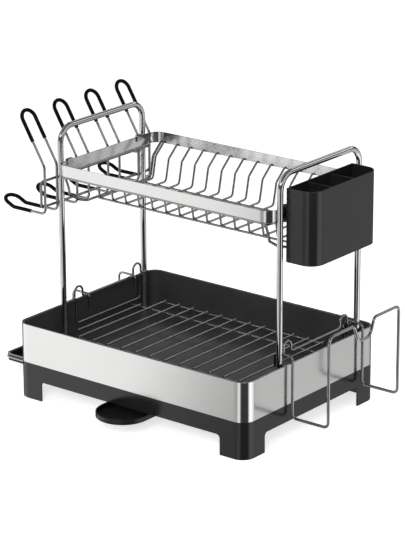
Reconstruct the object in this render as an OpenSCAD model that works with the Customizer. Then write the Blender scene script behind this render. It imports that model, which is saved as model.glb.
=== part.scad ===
// Two-tier dish drying rack: drip tray base, swivel drain spout, chrome rack with
// an upper dish tier, cup holder, utensil holder, board holder and side drip tray.
// Millimetres, +Z up, +X to the right, +Y to the back.
// The origin is on the table under the centre of the base.

/* [Base] */
// width of the base along X
base_w = 435; // [425:1:445]
// depth of the base along Y
base_d = 325; // [320:1:335]
// plan corner radius of the base
base_r = 20; // [16:1:24]
// height of the rim above the table
rim_z = 118; // [116:0.5:120]
// lower edge of the steel band
band_z = 57.5; // [55:0.5:58]
// lower edge of the skirt between the legs
skirt_z = 31; // [31:0.5:33]
// length of each leg along the skirt
leg_len = 46.5; // [38:0.5:52]
// top of the tray floor beside the walls
floor_z = 62; // [61.5:0.25:62]

/* [Drain spout] */
// radius of the round end of the trough
spout_r = 41; // [36:1:44]
// distance from the swivel axis to the round end's centre
spout_reach = 78; // [70:1:84]
// underside of the trough
spout_z = 23.5; // [22.5:0.25:24]

/* [Rack wires] */
// radius of the grid and dish wires
wire_r = 1.5; // [1.3:0.05:1.6]
// spacing of the grid wires along X
grid_pitch = 27.9; // [26.5:0.1:28.2]
// spacing of the dish wires along X
dish_pitch = 26.1; // [25:0.1:26.1]

/* [Side frames] */
// radius of the inverted-U tubes
tube_r = 4.5; // [4:0.1:4.5]
// height of the tube's top centre line
tube_z = 402.5; // [396:0.5:410]
// centre of the front tube legs along Y
tube_front = -67; // [-68:0.5:-66]
// centre of the rear tube legs along Y
tube_rear = 126; // [125:0.5:128]

/* [Upper tier] */
// half width of the steel band along X
tier_x = 201.5; // [201:0.25:201.5]
// top edge of the steel band
tier_z = 351; // [350:0.5:352]
// height of the steel band
tier_h = 17; // [15:0.5:18]

/* [Cup holder] */
// spacing of the four cup hooks along Y
cup_pitch = 73.5; // [72.5:0.25:74]
// height of the upper hook tips
cup_tip_z = 424; // [416:1:432]

/* [Utensil holder] */
// height of the utensil cup
cup_h = 110; // [100:1:116]
// length of the utensil cup along Y
cup_len = 160; // [154:1:162]

/* [Hidden] */
$fn = 48;
black = [0.06, 0.06, 0.065];
steel = [0.72, 0.72, 0.73];
chrome = [0.85, 0.85, 0.86];
coat = [0.02, 0.02, 0.02];

// base
band_t = 1.2;
band_lip = 3;
tray_gap = 0.1;
tray_t = 2.5;
ledge_z = 79.5;
ledge_in = 2;
skirt_t = 3;
shelf_in = 12;
leg_fillet = 6;
drain_y = -95;
drain_r = 12.05;
boss_r = 15;
boss_z = 36;
dish_r = 62;
dish_fall = 2;

// spout
stub_r = 12;
stub_bore = 9;
trough_h = 7;
trough_wall = 2.2;
trough_floor = 2;

// rack
floor_gap = 0.3;
grid_z = 88.5;
grid_front = -93;
grid_rear = 115;
grid_n = 12;
grid_mid = 77;
short_front = -72;
short_step = 0.25;
rail_r = 1.75;
tube_x = tier_x + tube_r;
rail_x = tier_x - rail_r;
rail_side_z = 127;
drop_x = rail_x - 2*rail_r;
drop_lift = rail_r;
drop_front = -50;
drop_rear = 104;
tube_bend = 25;
hump_z = 145.25;
hump_half = 9.25;
hump_front = -39.5;
hump_rear = 101;

// upper tier
tier_t = 1.2;
tier_r = 18;
tier_front = -84.2;
tier_rear = 153;
dish_n = 15;
trough_z = 283;
knee_z = 317.5;
trough_front = -5;
trough_rear = 122.5;
rim_r = 2;
rail_z = tier_z - tier_h - rim_r;
dish_wire_r = 1.7;
dish_bend = 6;
knee_front = trough_front - 7;
knee_rear = trough_rear + 7.5;
end_x = 188;
end_low = trough_z - dish_wire_r + rim_r;
end_front = [[-70.5, 312], [-68.5, 302], [-47, 289]];
cross_r = 1.75;
cross_y = [1, 106];

// cup holder
hook_r = 2;
hook_half = 13.7;
hook_mid = 28.75;
hook_x = -214;
tip_x = -262;
low_z = 272;
low_x = -279;
low_tip = [-302, 283];
lean_z = 346;
low_bend = 15;
coat_r = 2.9;
coat_up = 42;
coat_low = 36;
coat_over = 5;
frame_r = 2;
frame_x = hook_x - hook_r - frame_r;
frame_low = 283;
frame_high = 323;
frame_end = 18;
frame_bend = 6;
hang_t = 1.6;
hang_w = 12;
hang_drop = 8;
hook_gap = 0.4;
hang_y = [-53, 110.5];

// utensil holder
cup_x = 211;
cup_w = 49.5;
cup_y = -59;
cup_z = 273;
cup_t = 2;
cup_round = 22;
divider_t = 1.6;
divider_shift = 4;
clip_w = 14;
clip_z = 338;
clip_t = 2.4;
clip_inset = 2;

// board holder
board_r = 2.25;
board_in = 192;
board_near = 223.7;
board_far = 287.5;
board_front = -58.4;
board_rear = 117;
board_low = 37;
board_top = 175;
hook_over = 131.6;
board_end = 110;
board_bend = 8;
board_dip = [3, 15, 44, 54];
dip_h = 26.5;
dip_bend = 13;

// side tray
side_front = -97;
side_rear = 153;
side_far = -305;
side_near = -224.75;
side_top = 29;
ring_r = 2;
ring_top_r = 1.25;
side_ring_z = 24;
side_pan_z = 18.5;
side_pan_r = 6;
side_wall = 1.6;
side_floor = 2;
side_hook_r = 1.75;
side_hook_y = [-25.5, 85];
side_hook_z = 131.3;
side_hook_in = 190;
side_hook_end = 104;
side_hook_low = 20;

// ---- wire paths ----
// a bend is this much thicker than the straight rods, which run this far into it
swell = 0.02;
lap = 0.06;

function dir(a, b) = (b - a)/norm(b - a);
function turn(a, p, b) = acos(max(-1, min(1, dir(a, p)*dir(p, b))));
function cut(a, p, b, r) = r*tan(turn(a, p, b)/2);
function setback(p, b, i, n, closed) =
    (!closed && (i == 0 || i == n - 1)) ? 0
    : cut(p[(i + n - 1)%n], p[i], p[(i + 1)%n], b[i]);

// a straight round rod from a to b
module rod(a, b, r) {
    d = b - a;
    if (norm(d) > 0.001)
        translate(a)
            rotate([0, acos(d[2]/norm(d)), atan2(d[1], d[0])])
                cylinder(h = norm(d), r = r);
}

// the bend of radius b at corner p between points q and s
module bend(q, p, s, b, r) {
    u = dir(q, p);
    v = dir(p, s);
    ang = turn(q, p, s);
    n = (v - (v*u)*u)/norm(v - (v*u)*u);
    w = cross(u, n);
    c = p - cut(q, p, s, b)*u + b*n;
    multmatrix([[-n[0], u[0], w[0], c[0]],
            [-n[1], u[1], w[1], c[1]],
            [-n[2], u[2], w[2], c[2]],
            [0, 0, 0, 1]])
        rotate_extrude(angle = ang)
            translate([b, 0])
                circle(r = r + swell);
}

// round wire through points p with bend radii b
module wire(p, b, r, closed = false) {
    n = len(p);
    last = closed ? n - 1 : n - 2;
    union() {
        for (i = [0:last]) {
            j = (i + 1)%n;
            u = dir(p[i], p[j]);
            s = setback(p, b, i, n, closed);
            e = setback(p, b, j, n, closed);
            rod(p[i] + (s > 0 ? s - lap : 0)*u, p[j] - (e > 0 ? e - lap : 0)*u, r);
        }
        for (i = [closed ? 0 : 1:closed ? n - 1 : n - 2])
            if (turn(p[(i + n - 1)%n], p[i], p[(i + 1)%n]) > 0.5)
                bend(p[(i + n - 1)%n], p[i], p[(i + 1)%n], b[i], r);
    }
}

// the right-hand shape, mirrored for the left side
module both(side) {
    if (side > 0)
        children();
    else
        mirror([1, 0, 0])
            children();
}

// ---- plates ----
module plan(x, y, r) {
    union() {
        square([2*x - 2*r, 2*y], center = true);
        square([2*x, 2*y - 2*r], center = true);
        for (i = [-1, 1], j = [-1, 1])
            translate([i*(x - r), j*(y - r)])
                circle(r = r);
    }
}

module ring(x, y, r, t) {
    difference() {
        plan(x, y, r);
        plan(x - t, y - t, r - t);
    }
}

module prism(z0, z1) {
    translate([0, 0, z0])
        linear_extrude(height = z1 - z0)
            children();
}

// ---- base ----
// opening between two legs, with rounded upper corners, along one side
module leg_gap(half, z) {
    f = leg_fillet;
    union() {
        translate([-half, -1])
            square([2*half, z + 1 - f]);
        translate([-half + f, -1])
            square([2*half - 2*f, z + 1]);
        for (i = [-1, 1])
            translate([i*(half - f), z - f])
                circle(r = f);
    }
}

module base_skirt() {
    color(black)
        difference() {
            union() {
                prism(0, band_z)
                    ring(base_w/2, base_d/2, base_r, skirt_t);
                prism(band_z - skirt_t, band_z)
                    ring(base_w/2 - skirt_t/2, base_d/2 - skirt_t/2, base_r - skirt_t/2, shelf_in);
            }
            rotate([90, 0, 0])
                linear_extrude(height = base_d + 2, center = true)
                    leg_gap(base_w/2 - leg_len, skirt_z);
            rotate([90, 0, 90])
                linear_extrude(height = base_w + 2, center = true)
                    leg_gap(base_d/2 - leg_len, skirt_z);
        }
}

module steel_band() {
    color(steel)
        union() {
            prism(band_z, rim_z)
                ring(base_w/2, base_d/2, base_r, band_t);
            prism(rim_z - 1, rim_z)
                ring(base_w/2, base_d/2, base_r, band_lip);
        }
}

module drip_tray() {
    out = band_t + tray_gap;
    color(black)
        difference() {
            union() {
                prism(band_z, rim_z - 1.1)
                    ring(base_w/2 - out, base_d/2 - out, base_r - out, tray_t);
                prism(band_z, ledge_z)
                    ring(base_w/2 - out, base_d/2 - out, base_r - out, tray_t + ledge_in);
                prism(band_z, floor_z)
                    plan(base_w/2 - out, base_d/2 - out, base_r - out);
                translate([0, drain_y, boss_z])
                    cylinder(h = floor_z - 1 - boss_z, r = boss_r);
            }
            translate([0, drain_y, floor_z - dish_fall])
                cylinder(h = dish_fall + 0.001, r1 = boss_r + 1, r2 = dish_r);
            translate([0, drain_y, boss_z - 1])
                cylinder(h = floor_z, r = drain_r);
        }
}

// ---- drain spout ----
module capsule(r) {
    union() {
        circle(r = r);
        translate([0, -spout_reach])
            circle(r = r);
        translate([-r, -spout_reach])
            square([2*r, spout_reach]);
    }
}

module drain_spout() {
    top = spout_z + trough_h;
    color(black)
        translate([0, drain_y, 0])
            difference() {
                union() {
                    difference() {
                        prism(spout_z, top)
                            capsule(spout_r);
                        prism(spout_z + trough_floor, top + 1)
                            capsule(spout_r - trough_wall);
                    }
                    translate([0, 0, spout_z])
                        cylinder(h = floor_z - dish_fall - spout_z, r = stub_r);
                }
                translate([0, 0, spout_z + trough_floor])
                    cylinder(h = floor_z, r = stub_bore);
                translate([-stub_bore*0.6, -stub_r - 1, spout_z + trough_floor])
                    cube([stub_bore*1.2, stub_r + 1, trough_h - trough_floor]);
            }
}

// ---- lower rack ----
module grid_long_wires() {
    edge = (grid_n/2 + short_step)*grid_pitch;
    color(chrome)
        union() {
            for (k = [0:grid_n - 1]) {
                x = (k - (grid_n - 1)/2)*grid_pitch;
                rod([x, grid_front - wire_r, grid_z], [x, grid_rear + wire_r, grid_z], wire_r);
            }
            for (x = [-edge, edge])
                rod([x, short_front, grid_z], [x, grid_mid + wire_r, grid_z], wire_r);
        }
}

// the middle wire reaches out under the side drop wires
module grid_cross_wires() {
    z = grid_z - 2*wire_r;
    x = grid_pitch*(grid_n - 1)/2 + wire_r;
    reach = drop_x + rail_r;
    color(chrome)
        union() {
            rod([-x, grid_front, z], [x, grid_front, z], wire_r);
            rod([-reach, grid_mid, z], [reach, grid_mid, z], wire_r);
            rod([-x, grid_rear, z], [x, grid_rear, z], wire_r);
        }
}

// upper rail between the two tubes, with a hump beside each hook
module side_rail(side) {
    h = hump_half;
    tip = h - 0.05;
    z = rail_side_z;
    color(chrome)
        both(side)
            wire([[rail_x, tube_front, z], [rail_x, hump_front - h, z],
                    [rail_x, hump_front - h, hump_z], [rail_x, hump_front + h, hump_z],
                    [rail_x, hump_front + h, z], [rail_x, hump_rear - h, z],
                    [rail_x, hump_rear - h, hump_z], [rail_x, hump_rear + h, hump_z],
                    [rail_x, hump_rear + h, z], [rail_x, tube_rear, z]],
                [0, 5, tip, tip, 5, 5, tip, tip, 5, 0], rail_r);
}

// U-shaped wire hung on the inside of the side rail, down to the grid
module side_drop(side) {
    z = grid_z - wire_r + drop_lift;
    color(chrome)
        both(side)
            wire([[drop_x, drop_front, rail_side_z + rail_r], [drop_x, drop_front, z],
                    [drop_x, drop_rear, z], [drop_x, drop_rear, rail_side_z + rail_r]],
                [0, 5, 5, 0], rail_r);
}

module tube_frame(side) {
    z = floor_z + floor_gap;
    color(chrome)
        both(side)
            wire([[tube_x, tube_front, z], [tube_x, tube_front, tube_z],
                    [tube_x, tube_rear, tube_z], [tube_x, tube_rear, z]],
                [0, tube_bend, tube_bend, 0], tube_r);
}

// ---- upper tier ----
tier_mid = (tier_front + tier_rear)/2;
tier_half = (tier_rear - tier_front)/2;

module upper_band() {
    color(steel)
        translate([0, tier_mid, 0])
            prism(tier_z - tier_h, tier_z)
                ring(tier_x, tier_half, tier_r, tier_t);
}

// wire under the band's front and side edges
module upper_rail_wire() {
    x = tier_x - rim_r;
    y = tier_front + rim_r;
    z = rail_z;
    color(chrome)
        wire([[-x, tier_rear - tier_r, z], [-x, y, z], [x, y, z], [x, tier_rear - tier_r, z]],
            [0, tier_r - rim_r, tier_r - rim_r, 0], rim_r);
}

module dish_wires() {
    y0 = tier_front + 2*rim_r + 0.35;
    y1 = tier_rear - tier_t - 1.3;
    b = dish_bend;
    color(chrome)
        for (k = [0:dish_n - 1]) {
            x = (k - (dish_n - 1)/2)*dish_pitch;
            wire([[x, y0, rail_z], [x, knee_front, knee_z], [x, trough_front, trough_z],
                    [x, trough_rear, trough_z], [x, knee_rear, knee_z],
                    [x, y1, tier_z - tier_h + dish_wire_r]],
                [0, b, b, b, b, 0], dish_wire_r);
        }
}

// the cross wires run under the dish wires and the two end wires
module upper_cross_wires() {
    z = trough_z - dish_wire_r - cross_r;
    reach = end_x + rim_r;
    color(chrome)
        for (y = cross_y)
            rod([-reach, y, z], [reach, y, z], cross_r);
}

module upper_end_wire(side) {
    y0 = tier_front + 2*rim_r + 2.1;
    y1 = tier_rear - tier_t - 2.6;
    f = end_front;
    color(chrome)
        both(side)
            wire([[end_x, y0, rail_z - 1], [end_x, f[0][0], f[0][1]], [end_x, f[1][0], f[1][1]],
                    [end_x, f[2][0], f[2][1]], [end_x, f[2][0] + 18, end_low],
                    [end_x, trough_rear, end_low], [end_x, knee_rear, knee_z],
                    [end_x, y1, tier_z - tier_h + 1]],
                [0, 8, 7, 12, 12, 8, 8, 0], rim_r);
}

// ---- cup holder ----
function hook_y(i) = hook_mid + (i - 2.5)*cup_pitch;
function lean_x(z) = hook_x + (tip_x - hook_x)*(z - lean_z)/(cup_tip_z - lean_z);

module hook_wire(i, r) {
    a = hook_y(i) - hook_half;
    b = hook_y(i) + hook_half;
    tip = hook_half - 0.1;
    wire([[hook_x, a, lean_z], [tip_x, a, cup_tip_z], [tip_x, b, cup_tip_z], [hook_x, b, lean_z],
            [hook_x, b, low_z], [low_x, b, low_z], [low_tip[0], b, low_tip[1]],
            [low_tip[0], a, low_tip[1]], [low_x, a, low_z], [hook_x, a, low_z]],
        [20, tip, tip, 20, 9, low_bend, tip, tip, low_bend, 9], r, true);
}

module cup_hook(i) {
    color(chrome)
        hook_wire(i, hook_r);
}

module cup_tips_upper() {
    z = cup_tip_z - coat_up;
    q = z - coat_over;
    tip = hook_half - 0.1;
    color(coat)
        for (i = [1:4]) {
            a = hook_y(i) - hook_half;
            b = hook_y(i) + hook_half;
            difference() {
                wire([[lean_x(z), a, z], [tip_x, a, cup_tip_z], [tip_x, b, cup_tip_z],
                        [lean_x(z), b, z]], [0, tip, tip, 0], coat_r);
                wire([[lean_x(q), a, q], [tip_x, a, cup_tip_z], [tip_x, b, cup_tip_z],
                        [lean_x(q), b, q]], [0, tip, tip, 0], hook_r);
            }
        }
}

module cup_tips_lower() {
    x = low_x + coat_low;
    q = x + coat_over;
    tip = hook_half - 0.1;
    color(coat)
        for (i = [1:4]) {
            a = hook_y(i) - hook_half;
            b = hook_y(i) + hook_half;
            difference() {
                wire([[x, a, low_z], [low_x, a, low_z], [low_tip[0], a, low_tip[1]],
                        [low_tip[0], b, low_tip[1]], [low_x, b, low_z], [x, b, low_z]],
                    [0, low_bend, tip, tip, low_bend, 0], coat_r);
                wire([[q, a, low_z], [low_x, a, low_z], [low_tip[0], a, low_tip[1]],
                        [low_tip[0], b, low_tip[1]], [low_x, b, low_z], [q, b, low_z]],
                    [0, low_bend, tip, tip, low_bend, 0], hook_r);
            }
        }
}

module cup_frame() {
    y0 = hook_y(1) - frame_end;
    y1 = hook_y(4) + frame_end;
    color(chrome)
        wire([[frame_x, y0, frame_low], [frame_x, y0, frame_high],
                [frame_x, y1, frame_high], [frame_x, y1, frame_low]],
            [frame_bend, frame_bend, frame_bend, frame_bend], frame_r, true);
}

// strip from the frame's top rail, up the band and down inside it
module cup_hangers() {
    out_x = -tier_x - hook_gap - hang_t;
    in_x = -tier_x + tier_t + hook_gap;
    top = tier_z + hook_gap;
    low = frame_high + frame_r;
    color(steel)
        for (y = hang_y)
            translate([0, y - hang_w/2, 0])
                union() {
                    translate([frame_x, 0, low])
                        cube([out_x + hang_t - frame_x, hang_w, hang_t]);
                    translate([out_x, 0, low])
                        cube([hang_t, hang_w, top + hang_t - low]);
                    translate([out_x, 0, top])
                        cube([in_x + hang_t - out_x, hang_w, hang_t]);
                    translate([in_x, 0, top - hang_drop])
                        cube([hang_t, hang_w, hang_drop + hang_t]);
                }
}

// ---- utensil holder ----
// plan of the cup, square against the band and rounded outside
module cup_plan(inset) {
    r = cup_round - inset;
    x0 = cup_x + inset;
    x1 = cup_x + cup_w - inset;
    y0 = cup_y + inset;
    y1 = cup_y + cup_len - inset;
    union() {
        translate([x0, y0])
            square([x1 - r - x0, y1 - y0]);
        translate([x0, y0 + r])
            square([x1 - x0, y1 - y0 - 2*r]);
        for (y = [y0 + r, y1 - r])
            translate([x1 - r, y])
                circle(r = r);
    }
}

module utensil_cup() {
    third = cup_len/3;
    color(black)
        union() {
            difference() {
                prism(cup_z, cup_z + cup_h)
                    cup_plan(0);
                prism(cup_z + cup_t, cup_z + cup_h + 1)
                    cup_plan(cup_t);
            }
            for (k = [1, 2])
                translate([cup_x + cup_t/2, cup_y + k*third - divider_shift - divider_t/2,
                        cup_z + cup_t/2])
                    cube([cup_w - cup_t, divider_t, cup_h - 1.5*cup_t]);
        }
}

// hooked over the band, with a hollow between the hook and the cup
module utensil_clips() {
    top = tier_z + hook_gap;
    slot_x = tier_x - tier_t - hook_gap;
    slot_w = tier_t + 2*hook_gap;
    hollow_x = slot_x + slot_w + clip_t;
    color(black)
        for (y = [cup_y + clip_inset, cup_y + cup_len - clip_w - clip_inset])
            translate([0, y, 0])
                difference() {
                    translate([slot_x - clip_t, 0, clip_z])
                        cube([cup_x - slot_x + clip_t, clip_w, top + clip_t - clip_z]);
                    translate([slot_x, -1, clip_z - 1])
                        cube([slot_w, clip_w + 2, top - clip_z + 1]);
                    translate([hollow_x, -1, clip_z - 1])
                        cube([cup_x - clip_t - hollow_x, clip_w + 2, top - clip_t - clip_z + 1]);
                }
}

// ---- board holder ----
module board_holder_wire() {
    f = board_front;
    k = board_rear;
    n = board_near;
    x = board_far;
    t = board_top;
    y = board_dip;
    d = t - dip_h;
    b = board_bend;
    color(chrome)
        wire([[board_in, f, board_end], [board_in, f, hook_over], [n, f, hook_over],
                [n, f, board_low], [x, f, board_low], [x, f, t],
                [x, y[0], t], [x, y[1], d], [x, y[2], d], [x, y[3], t],
                [x, k, t], [x, k, board_low], [n, k, board_low],
                [n, k, hook_over], [board_in, k, hook_over], [board_in, k, board_end]],
            [0, b, b, b, b, 12, b, dip_bend, dip_bend, b, 9, b, b, b, b, 0], board_r);
}

// ---- side drip tray ----
module side_ring(z, r) {
    x0 = side_far + ring_r;
    x1 = side_near - ring_r;
    y0 = side_front + ring_r;
    y1 = side_rear - ring_r;
    b = side_pan_r + ring_r;
    wire([[x0, y0, z], [x1, y0, z], [x1, y1, z], [x0, y1, z]], [b, b, b, b], r, true);
}

module side_tray_rings() {
    color(chrome)
        union() {
            side_ring(side_top, ring_top_r);
            side_ring(side_ring_z, ring_r);
        }
}

module side_tray_pan() {
    w = (side_near - side_far)/2 - 2*ring_r;
    d = (side_rear - side_front)/2 - 2*ring_r;
    t = side_wall;
    color(black)
        translate([(side_far + side_near)/2, (side_front + side_rear)/2, 0])
            difference() {
                union() {
                    prism(side_pan_z, side_top)
                        plan(w, d, side_pan_r);
                    prism(side_pan_z, side_ring_z - ring_r - 0.5)
                        plan(w + ring_r, d + ring_r, side_pan_r + ring_r);
                }
                prism(side_pan_z + side_floor, side_top + 1)
                    plan(w - t, d - t, side_pan_r - t);
            }
}

// over the side rail and the rim, then down the outside to the pan
module side_tray_hooks() {
    near = side_near + side_hook_r;
    color(chrome)
        for (y = side_hook_y)
            wire([[-side_hook_in, y, side_hook_end], [-side_hook_in, y, side_hook_z],
                    [near, y, side_hook_z], [near, y, side_hook_low]],
                [0, 6, 8, 0], side_hook_r);
}

base_skirt();
steel_band();
drip_tray();
drain_spout();
grid_long_wires();
grid_cross_wires();
side_rail(-1);  // side_rail_left
side_rail(1);  // side_rail_right
side_drop(-1);  // side_drop_left
side_drop(1);  // side_drop_right
tube_frame(-1);  // tube_frame_left
tube_frame(1);  // tube_frame_right
upper_band();
upper_rail_wire();
dish_wires();
upper_cross_wires();
upper_end_wire(-1);  // upper_end_wire_left
upper_end_wire(1);  // upper_end_wire_right
cup_hook(1);  // cup_hook_1
cup_hook(2);  // cup_hook_2
cup_hook(3);  // cup_hook_3
cup_hook(4);  // cup_hook_4
cup_tips_upper();
cup_tips_lower();
cup_frame();
cup_hangers();
utensil_cup();
utensil_clips();
board_holder_wire();
side_tray_rings();
side_tray_pan();
side_tray_hooks();
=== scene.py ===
import math
import bmesh
import bpy
from mathutils import Matrix, Vector


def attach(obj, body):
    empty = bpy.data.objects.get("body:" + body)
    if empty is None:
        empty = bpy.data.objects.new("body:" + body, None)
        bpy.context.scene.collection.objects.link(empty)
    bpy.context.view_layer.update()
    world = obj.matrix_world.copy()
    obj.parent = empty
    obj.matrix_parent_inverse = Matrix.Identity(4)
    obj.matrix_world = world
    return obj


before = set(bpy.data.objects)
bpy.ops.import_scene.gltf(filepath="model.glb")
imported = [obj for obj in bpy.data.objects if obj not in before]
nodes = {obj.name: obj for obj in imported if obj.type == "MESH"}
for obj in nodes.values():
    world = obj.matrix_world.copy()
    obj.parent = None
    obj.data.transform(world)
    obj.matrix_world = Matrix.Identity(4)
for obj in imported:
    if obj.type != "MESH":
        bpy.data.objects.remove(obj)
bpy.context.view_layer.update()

# Two-tier dish drying rack. The CAD nodes keep their shapes; this script gives them edges,
# materials and weld beads, and sets the studio. Metres, +Z up, the front faces -Y.
MM = 0.001


# ---- colours ----
def grey(level):
    return (level, level, level)


def warm(level):
    """A grey with a trace less blue."""
    return (level, level, level - 0.01)


def cool(level):
    """A near black with a trace more blue."""
    return (level, level, level + 0.001)


# ---- node helpers ----
def new_material(name):
    mat = bpy.data.materials.new(name)
    mat.use_nodes = True
    tree = mat.node_tree
    shader = tree.nodes["Principled BSDF"]
    return mat, tree, shader


def add(tree, kind):
    return tree.nodes.new(kind)


def scaled_position(tree, scale):
    """Object coordinates stretched by scale."""
    coords = add(tree, "ShaderNodeTexCoord")
    mapping = add(tree, "ShaderNodeMapping")
    mapping.inputs["Scale"].default_value = scale
    tree.links.new(coords.outputs["Object"], mapping.inputs["Vector"])
    return mapping.outputs["Vector"]


def noise(tree, scale, detail=3.0, roughness=0.55, stretch=(1, 1, 1)):
    """Noise with this many features to a metre."""
    n = add(tree, "ShaderNodeTexNoise")
    n.inputs["Scale"].default_value = scale
    n.inputs["Detail"].default_value = detail
    n.inputs["Roughness"].default_value = roughness
    tree.links.new(scaled_position(tree, stretch), n.inputs["Vector"])
    return n.outputs["Fac"]


def remap(tree, value, low, high, start=0.3, end=0.7):
    """low to high as value goes from start to end."""
    n = add(tree, "ShaderNodeMapRange")
    n.inputs["From Min"].default_value = start
    n.inputs["From Max"].default_value = end
    n.inputs["To Min"].default_value = low
    n.inputs["To Max"].default_value = high
    tree.links.new(value, n.inputs["Value"])
    return n.outputs["Result"]


def math_node(tree, operation, a, b):
    n = add(tree, "ShaderNodeMath")
    n.operation = operation
    for socket, value in zip(n.inputs, (a, b)):
        if isinstance(value, (int, float)):
            socket.default_value = value
        else:
            tree.links.new(value, socket)
    return n.outputs["Value"]


def tint(tree, value, dark, light):
    """A colour between dark and light by value."""
    ramp = add(tree, "ShaderNodeValToRGB")
    ramp.color_ramp.elements[0].color = (*dark, 1)
    ramp.color_ramp.elements[1].color = (*light, 1)
    tree.links.new(value, ramp.inputs["Fac"])
    return ramp.outputs["Color"]


def bump(tree, shader, height, strength, distance):
    n = add(tree, "ShaderNodeBump")
    n.inputs["Strength"].default_value = strength
    n.inputs["Distance"].default_value = distance
    tree.links.new(height, n.inputs["Height"])
    tree.links.new(n.outputs["Normal"], shader.inputs["Normal"])


def edge_highlight_and_polish(tree):
    """1 on convex edges, 0 on flats."""
    g = add(tree, "ShaderNodeNewGeometry")
    return remap(tree, g.outputs["Pointiness"], 0.0, 1.0, EDGE_START, EDGE_FULL)


# ---- materials ----
# pointiness where an edge begins to get its painted highlight and polish, and where it is fully
# so
EDGE_START, EDGE_FULL = 0.52, 0.6
GRAIN_SHARE, CLOUD_SHARE = 0.6, 0.4
GRAIN_STRETCH = (1, 1, 45)
EDGE_POLISH = 0.08


def brushed_steel(name, light, dark, rough):
    """Stainless strip, brushed along its length."""
    mat, tree, shader = new_material(name)
    grain = noise(tree, 60, 4, 0.7, GRAIN_STRETCH)
    cloud = noise(tree, 7, 2)
    mixed = math_node(tree, "ADD", math_node(tree, "MULTIPLY", grain, GRAIN_SHARE),
                      math_node(tree, "MULTIPLY", cloud, CLOUD_SHARE))
    tree.links.new(tint(tree, remap(tree, mixed, 0, 1), dark, light),
                   shader.inputs["Base Color"])
    tree.links.new(remap(tree, mixed, rough * 0.85, rough * 1.2), shader.inputs["Roughness"])
    shader.inputs["Metallic"].default_value = 1.0
    shader.inputs["Anisotropic"].default_value = 0.55
    shader.inputs["Anisotropic Rotation"].default_value = 0.25
    tangent = add(tree, "ShaderNodeTangent")
    tangent.direction_type = "RADIAL"
    tangent.axis = "Z"
    tree.links.new(tangent.outputs["Tangent"], shader.inputs["Tangent"])
    bump(tree, shader, grain, 0.12, 0.05 * MM)
    return mat


def chrome(name, light, dark, rough):
    """Plated wire or tube with faint drawing marks and smudges."""
    mat, tree, shader = new_material(name)
    smudge = noise(tree, 38, 3)
    ripple = noise(tree, 420, 2)
    tree.links.new(tint(tree, remap(tree, smudge, 0, 1), dark, light),
                   shader.inputs["Base Color"])
    tree.links.new(remap(tree, smudge, rough * 0.7, rough * 1.5), shader.inputs["Roughness"])
    shader.inputs["Metallic"].default_value = 1.0
    bump(tree, shader, ripple, 0.08, 0.05 * MM)
    return mat


def black_plastic(name, dark, light, rough, specular=0.5):
    """Moulded plastic with a fine texture; convex edges painted lighter as a painted highlight,
    and slightly polished.
    """
    mat, tree, shader = new_material(name)
    grain = noise(tree, 900, 3, 0.6)
    cloud = noise(tree, 14, 3)
    # the edge mask paints convex edges a lighter colour, a painted highlight, and lowers their
    # roughness, a real polish
    edge = edge_highlight_and_polish(tree)
    tone = math_node(tree, "ADD", remap(tree, cloud, 0, 0.5),
                     math_node(tree, "MULTIPLY", edge, 0.5))
    tree.links.new(tint(tree, tone, dark, light), shader.inputs["Base Color"])
    base = remap(tree, cloud, rough * 0.88, rough * 1.12)
    polish = math_node(tree, "MULTIPLY", edge, EDGE_POLISH)
    tree.links.new(math_node(tree, "SUBTRACT", base, polish), shader.inputs["Roughness"])
    shader.inputs["Specular IOR Level"].default_value = specular
    bump(tree, shader, grain, 0.25, 0.06 * MM)
    return mat


def coating(name):
    """Dipped vinyl on the wire tips."""
    mat, tree, shader = new_material(name)
    wobble = noise(tree, 260, 2)
    cloud = noise(tree, 40, 2)
    tree.links.new(tint(tree, remap(tree, cloud, 0, 1), grey(0.002), grey(0.006)),
                   shader.inputs["Base Color"])
    tree.links.new(remap(tree, cloud, 0.32, 0.48), shader.inputs["Roughness"])
    shader.inputs["Specular IOR Level"].default_value = 0.08
    bump(tree, shader, wobble, 0.3, 0.08 * MM)
    return mat


MATERIALS = {
    "band": brushed_steel("brushed_band", warm(0.84), warm(0.74), 0.15),
    "upper": brushed_steel("brushed_upper", warm(0.84), warm(0.74), 0.15),
    "hanger": brushed_steel("brushed_hanger", grey(0.70), grey(0.55), 0.2),
    # wire and cup frame chrome get darker base colours than the tube, painted shade standing in
    # for the darker reflections on thin wires
    "wire": chrome("chrome_wire", grey(0.50), grey(0.38), 0.06),
    "tube": chrome("chrome_tube", grey(0.80), grey(0.70), 0.05),
    "frame": chrome("chrome_frame", grey(0.46), grey(0.36), 0.08),
    "skirt": black_plastic("skirt_plastic", cool(0.008), cool(0.016), 0.28),
    "tray": black_plastic("tray_plastic", grey(0.036), grey(0.056), 0.36),
    "spout": black_plastic("spout_plastic", cool(0.004), cool(0.010), 0.4, 0.35),
    "cup": black_plastic("cup_plastic", cool(0.010), cool(0.018), 0.28),
    "coat": coating("black_coating"),
}
LOOKS = {
    "base_skirt": "skirt", "steel_band": "band", "drip_tray": "tray", "drain_spout": "spout",
    "upper_band": "upper", "cup_hangers": "hanger", "utensil_cup": "cup", "utensil_clips": "cup",
    "side_tray_pan": "spout", "cup_tips_upper": "coat", "cup_tips_lower": "coat",
    "tube_frame_left": "tube", "tube_frame_right": "tube", "cup_frame": "frame",
}
# edge rounding of the moulded and folded parts, in millimetres
EDGES = {
    "base_skirt": 0.6, "steel_band": 0.3, "drip_tray": 0.5, "drain_spout": 0.5,
    "upper_band": 0.3, "utensil_cup": 0.6, "utensil_clips": 0.3, "side_tray_pan": 0.4,
    "cup_hangers": 0.3,
}


SHARP_ANGLE = math.radians(35)
BEVEL_ANGLE = math.radians(40)


def shade(obj):
    obj.data.shade_smooth()
    obj.data.set_sharp_from_angle(angle=SHARP_ANGLE)


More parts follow.
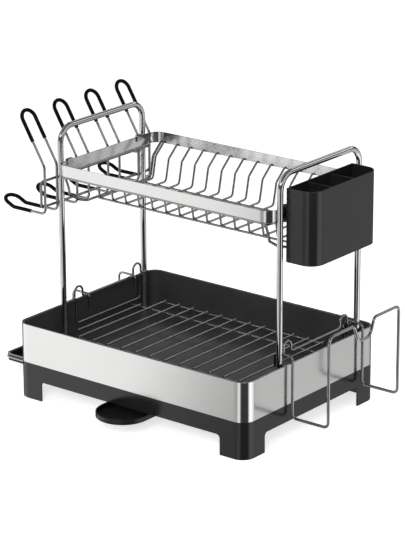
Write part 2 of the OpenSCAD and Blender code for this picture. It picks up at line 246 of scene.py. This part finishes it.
for name, obj in nodes.items():
    material = MATERIALS[LOOKS.get(name, "wire")]
    obj.data.materials.clear()
    obj.data.materials.append(material)
    shade(obj)
    if name in EDGES:
        bevel = obj.modifiers.new("edges", "BEVEL")
        bevel.width = EDGES[name] * MM
        bevel.segments = 2
        bevel.limit_method = "ANGLE"
        bevel.angle_limit = BEVEL_ANGLE
        bevel.harden_normals = True


# ---- weld beads ----
def bead(bm, centre, radii):
    """A small ellipsoid of fused metal, made ring by ring."""
    rings, sides = 5, 10
    top = bm.verts.new(centre + Vector((0, 0, radii.z)))
    bottom = bm.verts.new(centre - Vector((0, 0, radii.z)))
    loops = []
    for i in range(1, rings):
        a = math.pi * i / rings
        loops.append([
            bm.verts.new(centre + Vector((
                radii.x * math.sin(a) * math.cos(2 * math.pi * k / sides),
                radii.y * math.sin(a) * math.sin(2 * math.pi * k / sides),
                radii.z * math.cos(a))))
            for k in range(sides)])
    for k in range(sides):
        n = (k + 1) % sides
        bm.faces.new((top, loops[0][k], loops[0][n]))
        bm.faces.new((bottom, loops[-1][n], loops[-1][k]))
        for upper, lower in zip(loops, loops[1:]):
            bm.faces.new((upper[k], lower[k], lower[n], upper[n]))


def make_piece(name, bm, material, body):
    """A new piece that rides on a body."""
    mesh = bpy.data.meshes.new(name)
    bm.normal_update()
    bm.to_mesh(mesh)
    bm.free()
    obj = bpy.data.objects.new(name, mesh)
    bpy.context.scene.collection.objects.link(obj)
    mesh.materials.append(material)
    mesh.shade_smooth()
    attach(obj, body)


JOIN_WITHIN = 0.01 * MM


def islands(node):
    """Boxes of the separate wires in a CAD node, as (low, high) pairs."""
    bm = bmesh.new()
    bm.from_mesh(nodes[node].data)
    bmesh.ops.remove_doubles(bm, verts=bm.verts, dist=JOIN_WITHIN)
    seen, boxes = set(), []
    for start in bm.verts:
        if start in seen:
            continue
        stack, group = [start], []
        seen.add(start)
        while stack:
            v = stack.pop()
            group.append(v.co.copy())
            for e in v.link_edges:
                other = e.other_vert(v)
                if other not in seen:
                    seen.add(other)
                    stack.append(other)
        low = Vector(tuple(min(c[i] for c in group) for i in range(3)))
        high = Vector(tuple(max(c[i] for c in group) for i in range(3)))
        boxes.append((low, high))
    bm.free()
    return boxes


def weld(name, over, under, radii):
    """Beads where each wire of one node crosses each wire of the other just below it."""
    bm = bmesh.new()
    for a_low, a_high in islands(over):
        x = (a_low.x + a_high.x) / 2
        for b_low, b_high in islands(under):
            y = (b_low.y + b_high.y) / 2
            if b_low.x < x < b_high.x and a_low.y < y < a_high.y:
                bead(bm, Vector((x, y, b_high.z)), radii)
    make_piece(name, bm, MATERIALS["wire"], "rack")


BEAD = Vector((1.9, 1.9, 0.9)) * MM
weld("weld_beads_lower", "grid_long_wires", "grid_cross_wires", BEAD)
weld("weld_beads_upper", "dish_wires", "upper_cross_wires", BEAD)


# ---- studio ----
# How bright the room looks in each direction round the object, for reflections:
# (turn from -X through -Y, +X and +Y as a fraction, brightness)
ROOM = [
    (0.00, 0.70), (0.05, 1.15), (0.150, 1.03), (0.158, 0.86), (0.168, 0.60), (0.182, 0.42),
    (0.250, 0.42), (0.275, 0.90), (0.305, 0.90), (0.325, 0.04), (0.465, 0.04), (0.500, 1.25),
    (0.550, 1.25), (0.605, 0.58), (0.660, 0.58), (0.720, 0.20), (0.780, 0.04), (0.930, 0.06),
]

# its brightness by height, from the horizon to straight up: a dark band, then a bright strip
CEILING = [
    (0.00, 0.40), (0.08, 0.07), (0.38, 0.06), (0.42, 1.50), (0.56, 1.50), (0.60, 0.12),
]
# how much of a direction's brightness comes from its height, and the height where it is so
CEILING_SHARE = 0.85
HORIZON_TOP = 0.1
STAGE_HALF = 8.0
FLOOR_GLOW = 0.7
CARD_DEPTH = 0.4
CARD_STRENGTH = 1.0
WORLD_STRENGTH = 0.8


def level_ramp(tree, fac, levels):
    """Grey levels by position."""
    ramp = add(tree, "ShaderNodeValToRGB")
    ramp.color_ramp.interpolation = "LINEAR"
    stops = ramp.color_ramp.elements
    while len(stops) < len(levels):
        stops.new(0.5)
    for stop, (place, level) in zip(stops, levels):
        stop.position = place
        stop.color = (level, level, level, 1)
    tree.links.new(fac, ramp.inputs["Fac"])
    return ramp.outputs["Color"]


def room_brightness(tree, vector):
    """The room's brightness along the horizontal part of a vector."""
    split = add(tree, "ShaderNodeSeparateXYZ")
    tree.links.new(vector, split.inputs["Vector"])
    turn = math_node(tree, "ARCTAN2", split.outputs["Y"], split.outputs["X"])
    turn = math_node(tree, "MULTIPLY", turn, 1 / (2 * math.pi))
    turn = math_node(tree, "ADD", turn, 0.5)
    return level_ramp(tree, turn, ROOM), split.outputs["Z"]


def plane(name, z, material):
    """A level square of the stage."""
    h = STAGE_HALF
    bm = bmesh.new()
    corners = ((-h, -h), (h, -h), (h, h), (-h, h))
    bm.faces.new([bm.verts.new((x, y, z)) for x, y in corners])
    mesh = bpy.data.meshes.new(name)
    bm.to_mesh(mesh)
    bm.free()
    mesh.materials.append(material)
    obj = bpy.data.objects.new(name, mesh)
    bpy.context.scene.collection.objects.link(obj)


def stage_floor():
    """A white floor for the camera, and grey cards under it for reflections and bounced light."""
    mat, tree, shader = new_material("floor_white")
    shader.inputs["Base Color"].default_value = (0.85, 0.85, 0.85, 1)
    shader.inputs["Roughness"].default_value = 0.9
    shader.inputs["Specular IOR Level"].default_value = 0.0
    shader.inputs["Emission Color"].default_value = (1, 1, 1, 1)
    shader.inputs["Emission Strength"].default_value = FLOOR_GLOW
    clear = add(tree, "ShaderNodeBsdfTransparent")
    path = add(tree, "ShaderNodeLightPath")
    mix = add(tree, "ShaderNodeMixShader")
    tree.links.new(path.outputs["Is Camera Ray"], mix.inputs[0])
    tree.links.new(clear.outputs["BSDF"], mix.inputs[1])
    tree.links.new(shader.outputs["BSDF"], mix.inputs[2])
    tree.links.new(mix.outputs["Shader"], tree.nodes["Material Output"].inputs["Surface"])
    plane("floor", 0.0, mat)

    mat, tree, shader = new_material("cards")
    coords = add(tree, "ShaderNodeTexCoord")
    color, _ = room_brightness(tree, coords.outputs["Object"])
    card = add(tree, "ShaderNodeEmission")
    card.inputs["Strength"].default_value = CARD_STRENGTH
    tree.links.new(color, card.inputs["Color"])
    tree.links.new(card.outputs["Emission"], tree.nodes["Material Output"].inputs["Surface"])
    plane("cards", -CARD_DEPTH, mat)


def softbox(name, place, target, width, height, power):
    """A soft light that shows in no reflection."""
    data = bpy.data.lights.new(name, "AREA")
    data.shape = "RECTANGLE"
    data.size = width
    data.size_y = height
    data.energy = power
    obj = bpy.data.objects.new(name, data)
    obj.location = place
    aim = Vector(target) - Vector(place)
    obj.rotation_euler = aim.to_track_quat("-Z", "Y").to_euler()
    obj.visible_glossy = False
    bpy.context.scene.collection.objects.link(obj)


def world_light():
    """White to the camera, and the room and its ceiling to everything else."""
    world = bpy.data.worlds.new("studio")
    bpy.context.scene.world = world
    world.use_nodes = True
    tree = world.node_tree
    tree.nodes.clear()
    out = add(tree, "ShaderNodeOutputWorld")
    white = add(tree, "ShaderNodeBackground")
    white.inputs["Color"].default_value = (1, 1, 1, 1)
    room = add(tree, "ShaderNodeBackground")
    room.inputs["Strength"].default_value = WORLD_STRENGTH
    coords = add(tree, "ShaderNodeTexCoord")
    color, height = room_brightness(tree, coords.outputs["Generated"])
    ceiling = level_ramp(tree, height, CEILING)
    share = remap(tree, height, 0.0, CEILING_SHARE, 0.0, HORIZON_TOP)
    blend = add(tree, "ShaderNodeMix")
    blend.data_type = "RGBA"
    tree.links.new(share, blend.inputs["Factor"])
    tree.links.new(color, blend.inputs[6])
    tree.links.new(ceiling, blend.inputs[7])
    path = add(tree, "ShaderNodeLightPath")
    mix = add(tree, "ShaderNodeMixShader")
    tree.links.new(blend.outputs[2], room.inputs["Color"])
    tree.links.new(path.outputs["Is Camera Ray"], mix.inputs[0])
    tree.links.new(room.outputs["Background"], mix.inputs[1])
    tree.links.new(white.outputs["Background"], mix.inputs[2])
    tree.links.new(mix.outputs["Shader"], out.inputs["Surface"])


stage_floor()
world_light()
softbox("key_front", (1.2, -2.3, 1.5), (0, 0, 0.1), 1.4, 1.0, 45)
softbox("top", (0.2, 0.3, 2.2), (0, 0, 0.1), 1.6, 1.6, 14)
bpy.context.scene.view_settings.view_transform = "Standard"


# ---- camera ----
AZIMUTH, ELEVATION, ROLL = 38.51, 18.585, -0.255
DISTANCE = 3.948
TARGET = Vector((0, 0, 0.2))
SENSOR = 36.0
FOCAL_IN_HEIGHTS = 4.8924
SHIFT_X, SHIFT_Y = 0.01206, 0.0034
NEAREST, FURTHEST = 0.1, 50


def make_camera():
    data = bpy.data.cameras.new("camera")
    cam = bpy.data.objects.new("camera", data)
    bpy.context.scene.collection.objects.link(cam)
    a, e = math.radians(AZIMUTH), math.radians(ELEVATION)
    back = Vector((math.sin(a) * math.cos(e), -math.cos(a) * math.cos(e), math.sin(e)))
    cam.location = TARGET + back * DISTANCE
    turn = (-back).to_track_quat("-Z", "Y").to_matrix()
    cam.rotation_euler = (turn @ Matrix.Rotation(math.radians(ROLL), 3, "Z")).to_euler()
    data.sensor_width = SENSOR
    data.sensor_height = SENSOR
    data.sensor_fit = "VERTICAL"
    data.lens = SENSOR * FOCAL_IN_HEIGHTS
    data.shift_x = SHIFT_X
    data.shift_y = SHIFT_Y
    data.clip_start = NEAREST
    data.clip_end = FURTHEST
    bpy.context.scene.camera = cam


make_camera()
